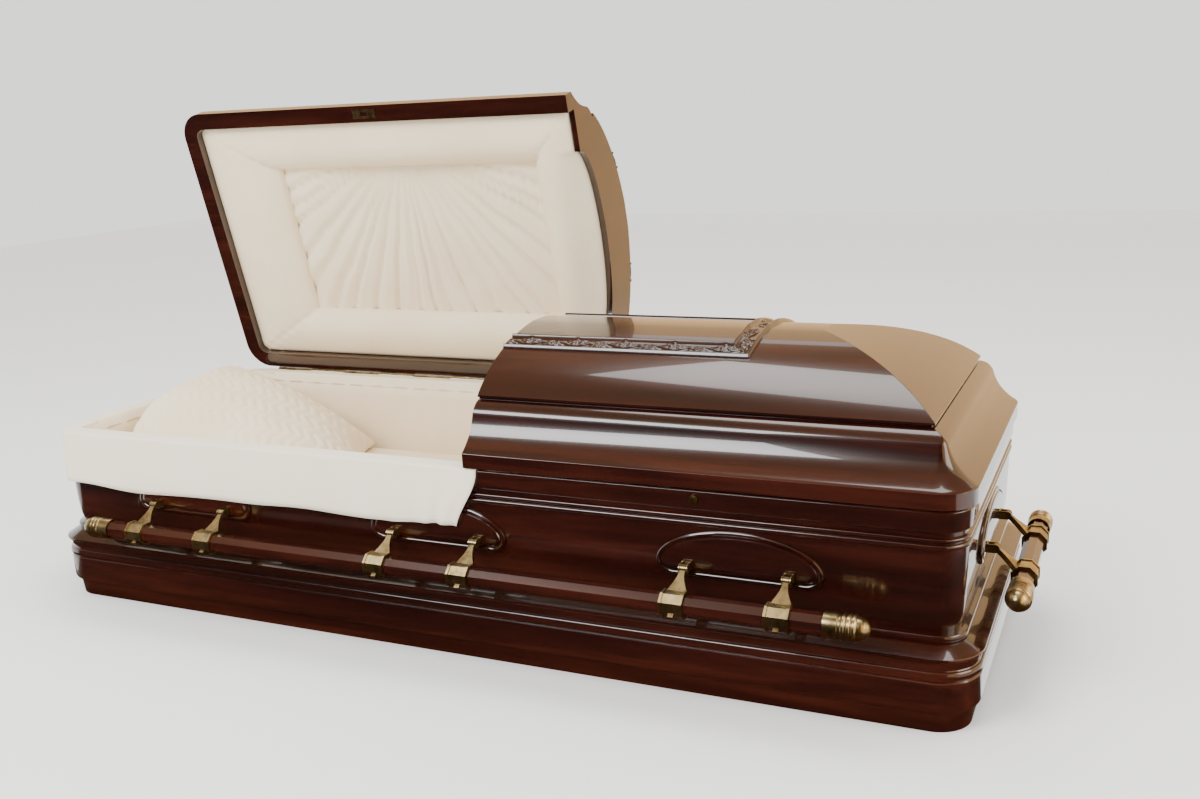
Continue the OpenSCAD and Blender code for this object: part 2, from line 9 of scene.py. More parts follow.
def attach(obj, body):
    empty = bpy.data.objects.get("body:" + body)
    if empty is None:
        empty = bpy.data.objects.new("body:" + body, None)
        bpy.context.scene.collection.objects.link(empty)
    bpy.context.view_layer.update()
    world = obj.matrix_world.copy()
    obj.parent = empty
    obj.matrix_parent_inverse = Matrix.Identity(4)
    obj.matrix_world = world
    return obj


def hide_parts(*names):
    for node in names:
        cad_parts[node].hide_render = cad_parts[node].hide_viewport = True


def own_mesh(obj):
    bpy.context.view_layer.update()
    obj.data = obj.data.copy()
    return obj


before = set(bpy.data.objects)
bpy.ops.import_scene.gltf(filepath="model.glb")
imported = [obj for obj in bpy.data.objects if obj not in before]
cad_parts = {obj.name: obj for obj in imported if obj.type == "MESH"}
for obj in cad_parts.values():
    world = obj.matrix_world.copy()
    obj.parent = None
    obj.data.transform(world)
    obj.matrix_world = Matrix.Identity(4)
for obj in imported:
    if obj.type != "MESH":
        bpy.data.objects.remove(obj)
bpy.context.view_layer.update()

# ---- sizes, in metres, the same as the solids' ----

HL, HW = 1.050, 0.375
RIM, LID_Z = 0.394, 0.398
LID_INNER = 0.058
HEAD_CUT, FOOT_CUT = 0.0765, 0.0795
BOARD = 0.014
HINGE_Y, HINGE_Z, OPEN = 0.360, 0.396, math.radians(76)
MATTRESS = 0.222
LINING = 0.0624


def opened(p):
    """A point drawn closed on the head lid, where it is with the lid open."""
    x, y, z = p
    c, s = math.cos(OPEN), math.sin(OPEN)
    dy, dz = y - HINGE_Y, z - HINGE_Z
    return (x, HINGE_Y + dy * c + dz * s, HINGE_Z - dy * s + dz * c)


# ---- camera ----

cam = bpy.data.objects.new("camera", bpy.data.cameras.new("camera"))
bpy.context.scene.collection.objects.link(cam)
fwd = Vector((-0.41078, 0.88102, -0.23467))
right = Vector((0.91005, 0.41188, -0.04665))
up = right.cross(fwd)
cam.matrix_world = Matrix((
    (right.x, up.x, -fwd.x, 1.2752), (right.y, up.y, -fwd.y, -2.2791),
    (right.z, up.z, -fwd.z, 1.0633), (0, 0, 0, 1)))
cam.data.sensor_width = 36
cam.data.lens = 36.34
cam.data.clip_end = 60
bpy.context.scene.camera = cam

# ---- node material helpers ----


def material(name, base, rough, metal=0.0, coat=0.0, sheen=0.0):
    m = bpy.data.materials.new(name)
    m.use_nodes = True
    b = m.node_tree.nodes["Principled BSDF"]
    b.inputs["Base Color"].default_value = (*base, 1)
    b.inputs["Roughness"].default_value = rough
    b.inputs["Metallic"].default_value = metal
    b.inputs["Coat Weight"].default_value = coat
    b.inputs["Coat Roughness"].default_value = 0.03
    b.inputs["Sheen Weight"].default_value = sheen
    return m, m.node_tree, b


def node(t, kind, **values):
    n = t.nodes.new(kind)
    for k, v in values.items():
        if k in n.inputs:
            n.inputs[k].default_value = v
        else:
            setattr(n, k, v)
    return n


def coords(t, scale, rotation=(0, 0, 0)):
    c = node(t, "ShaderNodeTexCoord")
    m = node(t, "ShaderNodeMapping")
    m.inputs["Scale"].default_value = scale
    m.inputs["Rotation"].default_value = rotation
    t.links.new(c.outputs["Object"], m.inputs["Vector"])
    return m.outputs["Vector"]


def ramp(t, source, stops):
    r = node(t, "ShaderNodeValToRGB")
    e = r.color_ramp.elements
    while len(e) < len(stops):
        e.new(0.5)
    for k, (p, c) in enumerate(stops):
        e[k].position = p
        e[k].color = (*c, 1)
    t.links.new(source, r.inputs["Fac"])
    return r.outputs["Color"]


def bump(t, b, source, strength, distance):
    n = node(t, "ShaderNodeBump")
    n.inputs["Strength"].default_value = strength
    n.inputs["Distance"].default_value = distance
    t.links.new(source, n.inputs["Height"])
    if b.inputs["Normal"].is_linked:
        t.links.new(b.inputs["Normal"].links[0].from_socket, n.inputs["Normal"])
    t.links.new(n.outputs["Normal"], b.inputs["Normal"])


def wood(name, dark, mid, light, scale, rotation=(0, 0, 0)):
    m, t, b = material(name, mid, 0.22, coat=1.0)
    b.inputs["Specular IOR Level"].default_value = 0.5
    v = coords(t, scale, rotation)
    broad = node(t, "ShaderNodeTexNoise", Scale=1.0, Detail=4.0, Roughness=0.55, Distortion=0.6)
    t.links.new(v, broad.inputs["Vector"])
    fine = node(t, "ShaderNodeTexNoise", Scale=7.0, Detail=6.0, Roughness=0.65)
    t.links.new(v, fine.inputs["Vector"])
    mix = node(t, "ShaderNodeMath", operation="MULTIPLY_ADD")
    t.links.new(fine.outputs["Fac"], mix.inputs[0])
    mix.inputs[1].default_value = 0.35
    t.links.new(broad.outputs["Fac"], mix.inputs[2])
    color = ramp(t, mix.outputs[0], [(0.42, dark), (0.66, mid), (0.88, light)])
    t.links.new(color, b.inputs["Base Color"])
    bump(t, b, fine.outputs["Fac"], 0.03, 0.0006)
    return m


def fabric(name, low, high, weave, crush, sheen, rough=0.85):
    m, t, b = material(name, high, rough, sheen=sheen)
    b.inputs["Sheen Roughness"].default_value = 0.4
    v = coords(t, (1, 1, 1))
    cloud = node(t, "ShaderNodeTexNoise", Scale=7.0, Detail=4.0, Roughness=0.5)
    t.links.new(v, cloud.inputs["Vector"])
    t.links.new(ramp(t, cloud.outputs["Fac"], [(0.32, low), (0.68, high)]), b.inputs["Base Color"])
    threads = node(t, "ShaderNodeTexNoise", Scale=weave, Detail=2.0)
    t.links.new(v, threads.inputs["Vector"])
    bump(t, b, threads.outputs["Fac"], 0.25, 0.0006)
    wrinkle = node(t, "ShaderNodeTexNoise", Scale=crush, Detail=4.0, Distortion=0.8)
    t.links.new(v, wrinkle.inputs["Vector"])
    bump(t, b, wrinkle.outputs["Fac"], 0.10, 0.0015)
    return m


def brass(name, dark, light, rough):
    m, t, b = material(name, light, rough, metal=1.0)
    v = coords(t, (1, 1, 1))
    age = node(t, "ShaderNodeTexNoise", Scale=30.0, Detail=6.0, Roughness=0.65)
    t.links.new(v, age.inputs["Vector"])
    t.links.new(ramp(t, age.outputs["Fac"], [(0.36, dark), (0.62, light)]), b.inputs["Base Color"])
    r = node(t, "ShaderNodeMapRange")
    r.inputs["To Min"].default_value = rough + 0.14
    r.inputs["To Max"].default_value = rough - 0.06
    t.links.new(age.outputs["Fac"], r.inputs["Value"])
    t.links.new(r.outputs["Result"], b.inputs["Roughness"])
    fine = node(t, "ShaderNodeTexNoise", Scale=420.0, Detail=3.0)
    t.links.new(v, fine.inputs["Vector"])
    bump(t, b, fine.outputs["Fac"], 0.12, 0.0004)
    return m


# grain runs along X on the long faces
WOOD = wood("polished_wood", (0.008, 0.0010, 0.0005), (0.020, 0.0026, 0.0011),
            (0.044, 0.0070, 0.0024), (1.1, 16, 16))
WOOD_DARK = wood("plate_wood", (0.006, 0.0008, 0.0004), (0.016, 0.0021, 0.0009),
                 (0.036, 0.0056, 0.0020), (1.3, 18, 18))
WOOD_ENDS = wood("end_wood", (0.008, 0.0010, 0.0005), (0.020, 0.0026, 0.0011),
                 (0.044, 0.0070, 0.0024), (16, 1.1, 16))
CREPE = fabric("crepe", (0.84, 0.70, 0.49), (0.88, 0.76, 0.56), 900.0, 60.0, 0.10)
VELVET = fabric("velvet", (0.85, 0.76, 0.60), (0.89, 0.81, 0.67), 1400.0, 22.0, 0.25, 0.95)
BRASS = brass("antique_brass", (0.20, 0.145, 0.070), (0.64, 0.52, 0.27), 0.26)

# ---- mesh helpers ----


def mesh_object(name, verts, faces, mat, smooth=None):
    me = bpy.data.meshes.new(name)
    me.from_pydata([tuple(v) for v in verts], [], [tuple(f) for f in faces])
    me.validate()
    ob = bpy.data.objects.new(name, me)
    bpy.context.scene.collection.objects.link(ob)
    bm = bmesh.new()
    bm.from_mesh(me)
    bmesh.ops.remove_doubles(bm, verts=bm.verts, dist=1e-6)
    bmesh.ops.recalc_face_normals(bm, faces=bm.faces)
    bm.to_mesh(me)
    bm.free()
    me.materials.append(mat)
    shade(ob, smooth)
    return ob


def shade(ob, angle):
    """Smooth shading that keeps edges sharper than angle, in degrees; None smooths all."""
    me = ob.data
    for p in me.polygons:
        p.use_smooth = True
    if angle is None:
        return
    bm = bmesh.new()
    bm.from_mesh(me)
    limit = math.radians(angle)
    for e in bm.edges:
        e.smooth = not (len(e.link_faces) == 2 and e.calc_face_angle(0) > limit)
    bm.to_mesh(me)
    bm.free()


def stand_for(ob, body, slot_name, *nodes):
    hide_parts(*nodes)
    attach(ob, body)
    return ob


# ---- moulding profiles, as in the solids, with finer steps ----


def quarter(a, b, n, up_first):
    out = []
    for k in range(n + 1):
        t = math.radians(90 * k / n)
        u, v = (1 - math.cos(t), math.sin(t)) if up_first else (math.sin(t), 1 - math.cos(t))
        out.append((a[0] + (b[0] - a[0]) * u, a[1] + (b[1] - a[1]) * v))
    return out


def bead(inset, z0, z1, depth, n):
    return [(inset - depth * math.sin(math.pi * k / n),
             (z0 + z1) / 2 - (z1 - z0) / 2 * math.cos(math.pi * k / n)) for k in range(n + 1)]


def bezier(a, b, c, d, n):
    out = []
    for k in range(n + 1):
        t = k / n
        u = 1 - t
        w = (u ** 3, 3 * u * u * t, 3 * u * t * t, t ** 3)
        out.append(tuple(sum(w[i] * p[j] for i, p in enumerate((a, b, c, d))) for j in (0, 1)))
    return out


def base_outside():
    r = RIM * 1000
    return ([(20, 0), (16, 37)] + quarter((13, 38), (5, 48), 8, False) + [(5, 95), (8, 98)]
            + bead(8, 99, 117, 5, 14) + [(9, 119)] + quarter((9, 121), (1, 138), 8, True)
            + [(0, 140), (0.6, 142.5), (14, 150), (28, 157)] + bead(32, 158, 172, 3.5, 12)
            + [(43, 174.5), (38.5, 192), (36, 208), (34.5, 225), (31, r - 72)]
            + bead(31, r - 70, r - 60, 4, 10) + [(31, r - 57)] + bead(30, r - 56, r - 49, 3, 10)
            + [(33, r - 47), (33, r - 41)] + quarter((31, r - 39), (26, r - 34), 6, False)
            + [(24, r - 3), (26, r)])


def lid_outside():
    z = LID_Z * 1000
    pts = ([(18, z), (18, z + 28), (19.5, z + 30)]
           + bezier((23, z + 32), (47, z + 50), (60, z + 66), (68, z + 92), 12)
           + bezier((69.5, z + 97), (73, z + 104), (82, z + 114), (96, z + 118), 8)
           + [(99, z + 118.5), (99, z + 123), (93, z + 123.5)]
           + bezier((93, z + 127), (142, z + 175), (228.75, z + 223), (375, z + 234), 28))
    return [p for p in pts if p[0] < 355]


def lid_inside():
    z = LID_Z * 1000
    return [(58, z), (58, z + 30), (80, z + 54), (93, z + 88), (119, z + 101), (150, z + 141),
            (200, z + 170), (250, z + 191), (300, z + 203), (340, z + 209)]


CORNER = 14


def arc(cx, cy, r, a0):
    return [(cx + r * math.cos(math.radians(a0 + 90 * k / CORNER)),
             cy + r * math.sin(math.radians(a0 + 90 * k / CORNER))) for k in range(CORNER + 1)]


def ring(p):
    inset, z = p[0] / 1000, p[1] / 1000
    r = max(0.083 - inset, 0.001)
    x, y = HL - inset - r, HW - inset - r
    flat = arc(x, -y, r, 270) + arc(x, y, r, 0) + arc(-x, y, r, 90) + arc(-x, -y, r, 180)
    return [(a, b, z) for a, b in flat]


def cut_ring(p, cut):
    inset, z = p[0] / 1000, p[1] / 1000
    r = max(0.083 - inset, 0.001)
    x, y = HL - inset - r, HW - inset - r
    flat = [(cut, -y - r)] + arc(x, -y, r, 270) + arc(x, y, r, 0) + [(cut, y + r)]
    return [(a, b, z) for a, b in flat]


def build_base():
    profile = base_outside() + [(60, 394), (62, 392), (62, 22)]
    m = 4 * (CORNER + 1)
    verts = [q for p in profile for q in ring(p)]
    faces = [tuple(range(m))]
    for i in range(len(profile) - 1):
        for k in range(m):
            j = (k + 1) % m
            faces.append((i * m + k, (i + 1) * m + k, (i + 1) * m + j, i * m + j))
    last = (len(profile) - 1) * m
    faces.append(tuple(range(last + m - 1, last - 1, -1)))
    ob = mesh_object("base_shell", verts, faces, WOOD, 24)
    return stand_for(ob, "casket", "polished_wood", "casket_base")


def header_edge():
    z = LID_Z + 0.030
    foot, spring = HW - LID_INNER, HW * 0.587
    return ([(-foot, z)] + [(spring * math.cos(math.radians(180 - 180 * k / 32)),
                             z + 0.074 * math.sin(math.radians(180 - 180 * k / 32)))
                            for k in range(33)] + [(foot, z)])


def build_lid(name, cut, flip, is_open):
    """A lid shell drawn to the foot end, then mirrored and opened for the head lid."""
    outside, inside, edge = lid_outside(), lid_inside(), header_edge()
    m = 2 * (CORNER + 1) + 2
    no, ni, e = len(outside), len(inside), len(edge)
    back = cut + BOARD
    verts = [q for p in outside for q in cut_ring(p, cut)]
    i0 = len(verts)
    verts += [q for p in inside for q in cut_ring(p, back)]
    a0 = len(verts)
    verts += [(cut, y, z) for y, z in edge]
    b0 = len(verts)
    verts += [(back, y, z) for y, z in edge[1:-1]]
    f0 = len(verts)
    foot = HW - LID_INNER
    verts += [(cut, -foot, LID_Z), (cut, foot, LID_Z)]
    faces = []
    for i in range(no - 1):
        for k in range(m - 1):
            faces.append((i * m + k, (i + 1) * m + k, (i + 1) * m + k + 1, i * m + k + 1))
    faces.append(tuple((no - 1) * m + k for k in range(m - 1, -1, -1)))
    for i in range(ni - 1):
        a, b = i0 + (i + 1) * m, i0 + i * m
        for k in range(m - 1):
            faces.append((a + k, b + k, b + k + 1, a + k + 1))
    faces.append(tuple(i0 + (ni - 1) * m + k for k in range(m)))
    row = [i0 + m] + [b0 + k for k in range(e - 2)] + [i0 + 2 * m - 1]
    for k in range(e - 1):
        faces.append((a0 + k, row[k], row[k + 1], a0 + k + 1))
    faces += [(f0, i0, row[0], a0), (f0 + 1, a0 + e - 1, row[e - 1], i0 + m - 1)]
    crown, apex, turn = e // 2, (no - 1) * m, m // 2 - 1
    faces.append(tuple([f0] + [a0 + k for k in range(crown + 1)]
                       + [i * m for i in range(no - 1, -1, -1)]))
    faces.append(tuple([a0 + k for k in range(crown, e)] + [f0 + 1]
                       + [i * m + m - 1 for i in range(no)] + [apex]))
    faces.append(tuple([i0 + i * m + m - 1 for i in range(ni - 1, 0, -1)]
                       + [b0 + k for k in range(e - 3, -1, -1)]
                       + [i0 + i * m for i in range(1, ni)]))
    faces.append(tuple(list(range(turn + 1)) + [i0 + k for k in range(turn, -1, -1)] + [f0]))
    faces.append(tuple(list(range(turn, m)) + [f0 + 1]
                       + [i0 + k for k in range(m - 1, turn - 1, -1)]))
    if flip:
        verts = [(-x, y, z) for x, y, z in verts]
    if is_open:
        verts = [opened(v) for v in verts]
    return mesh_object(name, verts, faces, WOOD, 24)


build_base()
head_shell = build_lid("head_lid_shell", -HEAD_CUT, True, True)
stand_for(head_shell, "head_lid", "polished_wood", "head_lid")
foot_shell = build_lid("foot_lid_shell", FOOT_CUT, False, False)
stand_for(foot_shell, "foot_lid", "polished_wood", "foot_lid")

# ---- carved border on the lids: a leaf scroll between two beads ----

DOME = [p for p in lid_outside() if p[1] > (LID_Z * 1000 + 125)]


def dome_z(y):
    inset = (HW - abs(y)) * 1000
    if inset >= DOME[-1][0]:
        return DOME[-1][1] / 1000
    for a, b in zip(DOME, DOME[1:]):
        if a[0] <= inset <= b[0]:
            return (a[1] + (b[1] - a[1]) * (inset - a[0]) / (b[0] - a[0])) / 1000
    return DOME[0][1] / 1000


def carve(u, v):
    """Height in mm at u metres along the border and v, 0 to 1 across it."""
    edge = min(v, 1 - v)
    if edge < 0.13:
        return 8.2 * math.sqrt(max(0, 1 - ((edge - 0.065) / 0.075) ** 2))
    w = (v - 0.5) / 0.37
    s = (u / 0.052) % 1.0
    side = 1 if int(math.floor(u / 0.052)) % 2 else -1
    vine = 0.42 * side * math.sin(math.pi * s)
    stem = math.exp(-((w - vine) / 0.13) ** 2)
    px, py = (s - 0.5) * 1.4, w + side * 0.28
    rad = math.hypot(px, py)
    turn = math.atan2(py, px)
    leaf = max(0.0, 1 - (rad / (0.62 + 0.13 * math.cos(7 * turn))) ** 4)
    veins = 0.72 + 0.28 * math.cos(14 * turn + 3 * rad)
    curl = 0.5 + 0.5 * math.cos(18 * rad - side * turn)
    h = 1.2 + 4.6 * leaf * veins * (0.65 + 0.35 * curl) + 2.6 * stem
    return min(h, 8.4)


def build_border(name, x0, x1, flip, is_open):
    """U-shaped border from the cut x0 along both sides and across the end at x1."""
    outer, width, step = HW * 0.448, 0.046, 0.0016
    verts, faces = [], []

    def strip(points_uv):
        rows, cols = len(points_uv), len(points_uv[0])
        k0 = len(verts)
        for r in points_uv:
            verts.extend(r)
        for i in range(rows - 1):
            for j in range(cols - 1):
                a = k0 + i * cols + j
                faces.append((a, a + 1, a + cols + 1, a + cols))

    n_across = 30
    for side in (-1, 1):
        rows = []
        n = int((x1 - x0) / step)
        for i in range(n + 1):
            row = []
            for j in range(n_across + 1):
                v = j / n_across
                y = side * (outer - width * v)
                xe = x1 - width * v
                x = x0 + (xe - x0) * i / n
                h = carve(x, v) / 1000
                if j in (0, n_across):
                    h = -0.002
                row.append((x, y, dome_z(y) + h))
            rows.append(row)
        strip(rows)
    n = int(2 * outer / step)
    rows = []
    for i in range(n + 1):
        row = []
        for j in range(n_across + 1):
            v = j / n_across
            ye = outer - width * v
            y = -ye + 2 * ye * i / n
            h = carve(y + 0.4, v) / 1000
            if j in (0, n_across):
                h = -0.002
            row.append((x1 - width * v, y, dome_z(y) + h))
        rows.append(row)
    strip(rows)
    if flip:
        verts = [(-x, y, z) for x, y, z in verts]
    if is_open:
        verts = [opened(v) for v in verts]
    return mesh_object(name, verts, faces, WOOD_DARK, None)


head_border = build_border("head_lid_carving", -HEAD_CUT, HL * 0.571, True, True)
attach(head_border, "head_lid")
foot_border = build_border("foot_lid_carving", FOOT_CUT, HL * 0.571, False, False)
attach(foot_border, "foot_lid")

# ---- soft goods ----


def wave(x, y, seed=0.0):
    """Smooth repeatable unevenness between about -1 and 1."""
    return (math.sin(2.1 * x + 1.3 * y + seed) + math.sin(-1.7 * x + 2.9 * y + 2.3 * seed)
            + math.sin(3.7 * x + 0.6 * y + 4.1 + seed)) / 3


def smooth_step(a, b, t):
    t = min(1.0, max(0.0, (t - a) / (b - a)))
    return t * t * (3 - 2 * t)


def closed_pad(name, xs, ys, front, back, mat, keep=None, place=None):
    """A closed stuffed form over a grid: front and back give the height of its two faces."""
    verts, faces, at = [], [], {}
    nx, ny = len(xs), len(ys)
    used = set()
    cells = [(i, j) for i in range(nx - 1) for j in range(ny - 1)
             if keep is None or keep((xs[i] + xs[i + 1]) / 2, (ys[j] + ys[j + 1]) / 2)]
    for i, j in cells:
        used.update(((i, j), (i + 1, j), (i + 1, j + 1), (i, j + 1)))
    for i, j in sorted(used):
        at[(i, j)] = len(verts)
        verts.append((xs[i], ys[j], front(xs[i], ys[j])))
        verts.append((xs[i], ys[j], back(xs[i], ys[j])))
    edges = {}
    for i, j in cells:
        q = [at[(i, j)], at[(i + 1, j)], at[(i + 1, j + 1)], at[(i, j + 1)]]
        faces.append(tuple(q))
        faces.append(tuple(k + 1 for k in reversed(q)))
        for a, b in zip(q, q[1:] + q[:1]):
            edges[(a, b)] = True
    for a, b in edges:
        if (b, a) not in edges:
            faces.append((a, a + 1, b + 1, b))
    if place:
        verts = [place(v) for v in verts]
    return mesh_object(name, verts, faces, mat, 70)


def cloth(name, rows, mat, thick=0.0012):
    """An open sheet from rows of points, given a little thickness."""
    cols = len(rows[0])
    verts = [q for r in rows for q in r]
    faces = [(i * cols + j, i * cols + j + 1, (i + 1) * cols + j + 1, (i + 1) * cols + j)
             for i in range(len(rows) - 1) for j in range(cols - 1)]
    ob = mesh_object(name, verts, faces, mat, None)
    sol = ob.modifiers.new("cloth", "SOLIDIFY")
    sol.thickness = thick
    sol.offset = 0
    return ob


def simulate(ob, voxel, pressure, cap, frames=20):
    """Inflates a closed pad as cloth, then keeps each point within cap of where it was."""
    scene = bpy.context.scene
    for o in bpy.context.selected_objects:
        o.select_set(False)
    bpy.context.view_layer.objects.active = ob
    ob.select_set(True)
    r = ob.modifiers.new("remesh", "REMESH")
    r.mode = "VOXEL"
    r.voxel_size = voxel
    bpy.ops.object.modifier_apply(modifier="remesh")
    start = np.array([v.co for v in ob.data.vertices], float)
    c = ob.modifiers.new("cloth", "CLOTH")
    c.settings.use_pressure = True
    c.settings.uniform_pressure_force = pressure
    c.settings.effector_weights.gravity = 0
    c.settings.quality = 5
    c.settings.bending_stiffness = 0.6
    for f in range(1, frames + 1):
        scene.frame_set(f)
    bpy.ops.object.modifier_apply(modifier="cloth")
    scene.frame_set(1)
    end = np.array([v.co for v in ob.data.vertices], float)
    move = end - start
    size = np.linalg.norm(move, axis=1)
    move *= np.minimum(1.0, cap / np.maximum(size, 1e-9))[:, None]
    ob.data.vertices.foreach_set("co", (start + move).ravel())
    ob.data.update()
    shade(ob, None)
    return ob


# frame of padded rolls round the inside of the head lid, mitred at its corners
OUT_X0, OUT_X1, OUT_Y = -0.991, 0.0605, 0.3155
IN_X0, IN_X1, IN_Y = -0.788, -0.047, 0.195


def arch_z(y):
    spring = HW * 0.587
    if abs(y) >= spring:
        return LID_Z + 0.030
    return LID_Z + 0.030 + 0.074 * math.sqrt(1 - (y / spring) ** 2)


def roll_low(x, y):
    parts = sorted((((x - OUT_X0) / (IN_X0 - OUT_X0), 0), ((OUT_X1 - x) / (OUT_X1 - IN_X1), 1),
                    ((y + OUT_Y) / (OUT_Y - IN_Y), 2), ((OUT_Y - y) / (OUT_Y - IN_Y), 3)))
    t, side = parts[0]
    t = min(1.0, max(0.0, t))
    outer = 0.4225
    if side == 1:
        outer = arch_z(y) - 0.003
    inner = 0.4490
    base = outer + (inner - outer) * t
    crown = 0.4045 + 0.0012 * wave(x * 9, y * 9, side)
    bulge = math.sin(math.pi * min(1.0, t * 0.94 + 0.03)) ** 0.62
    z = base + (crown - base) * bulge
    seam = abs(parts[1][0] - parts[0][0])
    z += 0.0042 * math.exp(-(seam / 0.035) ** 2)
    ripple = 0.0011 * math.exp(-(seam / 0.25) ** 2) * math.sin(46 * (t + 0.4 * seam))
    return z + ripple


def span(a, b, step):
    n = max(2, int(round((b - a) / step)))
    return [a + (b - a) * k / n for k in range(n + 1)]


def roll_high(x, y):
    near = smooth_step(0.045, 0.0, OUT_X1 - x)
    return 0.4502 + near * max(0.0, arch_z(y) + 0.003 - 0.4502)


def not_opening(x, y):
    return not (IN_X0 < x < IN_X1 and -IN_Y < y < IN_Y)


rolls = closed_pad("lid_rolls", span(OUT_X0, IN_X0, 0.0075) + span(IN_X0, IN_X1, 0.0075)[1:]
                   + span(IN_X1, OUT_X1, 0.006)[1:],
                   span(-OUT_Y, -IN_Y, 0.006) + span(-IN_Y, IN_Y, 0.0075)[1:]
                   + span(IN_Y, OUT_Y, 0.006)[1:],
                   roll_low, roll_high, CREPE, not_opening, opened)
stand_for(rolls, "head_lid", "crepe", "head_lid_rolls")

# shirred panel: pleats that fan out from above the middle of the opening
FAN_X, FAN_Y = -0.418, -0.262


def fan_z(x, y):
    r = math.hypot(x - FAN_X, y - FAN_Y)
    a = math.atan2(x - FAN_X, y - FAN_Y)
    a += 0.010 * wave(r * 14, a * 9, 1.7)
    k = a * 25.0 + 0.55 * math.sin(a * 11) + 0.3 * math.sin(a * 23)
    lobe = abs(math.sin(k)) ** 0.55
    small = abs(math.sin(2.3 * k + 0.9 * math.sin(5 * a))) ** 0.8
    size = 0.0045 + 0.0135 * smooth_step(0.05, 0.34, r)
    return 0.4630 - size * (0.80 * lobe + 0.20 * small)


xs = span(IN_X0 - 0.012, IN_X1 + 0.012, 0.0036)
ys = span(-IN_Y - 0.010, IN_Y + 0.010, 0.0110)
panel = cloth("lid_panel", [[opened((x, y, fan_z(x, y))) for x in xs] for y in ys], CREPE, 0.001)
stand_for(panel, "head_lid", "crepe", "head_lid_panel")


# foot lid lining, gathered across
def foot_low(x, y):
    edge = min(x - 0.0945, 0.9900 - x, 0.3150 - abs(y))
    t = smooth_step(0.0, 0.05, edge)
    fold = 0.0022 * abs(math.sin(62 * x + 0.5 * wave(x * 6, y * 6)))
    return 0.4215 - 0.0165 * t + fold * t


foot_pad = closed_pad("foot_lid_pad", span(0.0945, 0.9900, 0.006), span(-0.3150, 0.3150, 0.012),
                      foot_low, lambda x, y: 0.4238, CREPE,
                      lambda x, y: x < 0.966 or abs(y) < 0.29)
stand_for(foot_pad, "foot_lid", "crepe", "foot_lid_lining")


# mattress, crowned and quilted along its length
def bed_top(x, y):
    edge = min(x + 0.972, 0.972 - x, 0.297 - abs(y))
    t = smooth_step(-0.002, 0.045, edge)
    return MATTRESS - 0.030 + 0.0298 * t - 0.0022 * (1 - abs(math.sin(26 * y))) * t


bed = closed_pad("mattress_pad", span(-0.972, 0.972, 0.014), span(-0.297, 0.297, 0.009),
                 bed_top, lambda x, y: 0.0226, CREPE,
                 lambda x, y: abs(x) < 0.952 or abs(y) < 0.28)
stand_for(bed, "casket", "crepe", "mattress")


# pillow: plump at the head end, sloping to the bed, with rows of small tucks
def pillow_end(y):
    return -0.396 - 0.165 * smooth_step(-0.10, 0.26, y)


def pillow_top(x, y):
    u = (x + 0.955) / (pillow_end(y) + 0.955)
    v = y / 0.268
    side = max(0.0, 1 - abs(v) ** 3.4) ** 0.5
    along = smooth_step(-0.03, 0.09, u) * max(0.0, 1 - max(0.0, u) ** 2.6) ** 0.62
    lean = 0.242 * (1 - 0.36 * max(0.0, u)) * (0.95 + 0.10 * v)
    return MATTRESS + 0.006 + side * along * lean


def tucks(x, y):
    a = x * 0.92 + y * 0.40 + 0.004 * wave(x * 30, y * 30, 0.4)
    b = -x * 0.40 + y * 0.92 + 0.003 * wave(x * 22, y * 26, 2.0)
    ridge = abs(math.sin(math.pi * a / 0.026 + 0.9 * math.sin(math.pi * b / 0.042)))
    return 0.0064 * (ridge ** 0.6 - 0.6) * (0.72 + 0.28 * math.cos(2 * math.pi * b / 0.084))


pillow = closed_pad("head_pillow", span(-0.952, -0.392, 0.007), span(-0.266, 0.266, 0.007),
                    pillow_top, lambda x, y: MATTRESS + 0.0012, CREPE,
                    lambda x, y: x < pillow_end(y) and
                    ((abs(x + 0.672) / 0.281) ** 7 + (abs(y) / 0.266) ** 7) < 1)
simulate(pillow, 0.010, 0.3, 0.010, 14)
sub = pillow.modifiers.new("sub", "SUBSURF")
sub.levels = sub.render_levels = 1
bpy.context.view_layer.objects.active = pillow
bpy.ops.object.modifier_apply(modifier="sub")
for v in pillow.data.vertices:
    n = v.normal
    k = smooth_step(0.1, 0.5, n.z)
    d = tucks(v.co.x, v.co.y) * k
    v.co = (v.co.x, v.co.y, max(MATTRESS + 0.0008, v.co.z + d))
shade(pillow, None)
stand_for(pillow, "casket", "crepe", "pillow")
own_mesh(pillow)


# ---- lining and drape, as sheets that follow the box's outline ----


def outline(inset, step=0.008):
    """Points round the box at an inset, with their outward direction and length so far."""
    r = max(0.083 - inset, 0.004)
    x, y = HL - inset - r, HW - inset - r
    pts = []
    corners = [(-x, -y, 180), (x, -y, 270), (x, y, 0), (-x, y, 90)]
    for cx, cy, a0 in corners:
        n = max(4, int(r * math.pi / 2 / step))
        for k in range(n + 1):
            a = math.radians(a0 + 90 * k / n)
            pts.append((cx + r * math.cos(a), cy + r * math.sin(a), math.cos(a), math.sin(a)))
    out = []
    for i, a in enumerate(pts):
        b = pts[(i + 1) % len(pts)]
        d = math.hypot(b[0] - a[0], b[1] - a[1])
        n = max(1, int(round(d / step)))
        for k in range(n):
            t = k / n
            c, e = a[2] + (b[2] - a[2]) * t, a[3] + (b[3] - a[3]) * t
            m = math.hypot(c, e) or 1
            out.append((a[0] + (b[0] - a[0]) * t, a[1] + (b[1] - a[1]) * t, c / m, e / m))
    return out


def lining_point(p, z, long):
    fold = 0.0016 * math.sin(95 * long + 0.8 * wave(long * 4, z * 9)) * smooth_step(0.39, 0.34, z)
    push = 0.0050 + fold
    return (p[0] - p[2] * push, p[1] - p[3] * push, z)


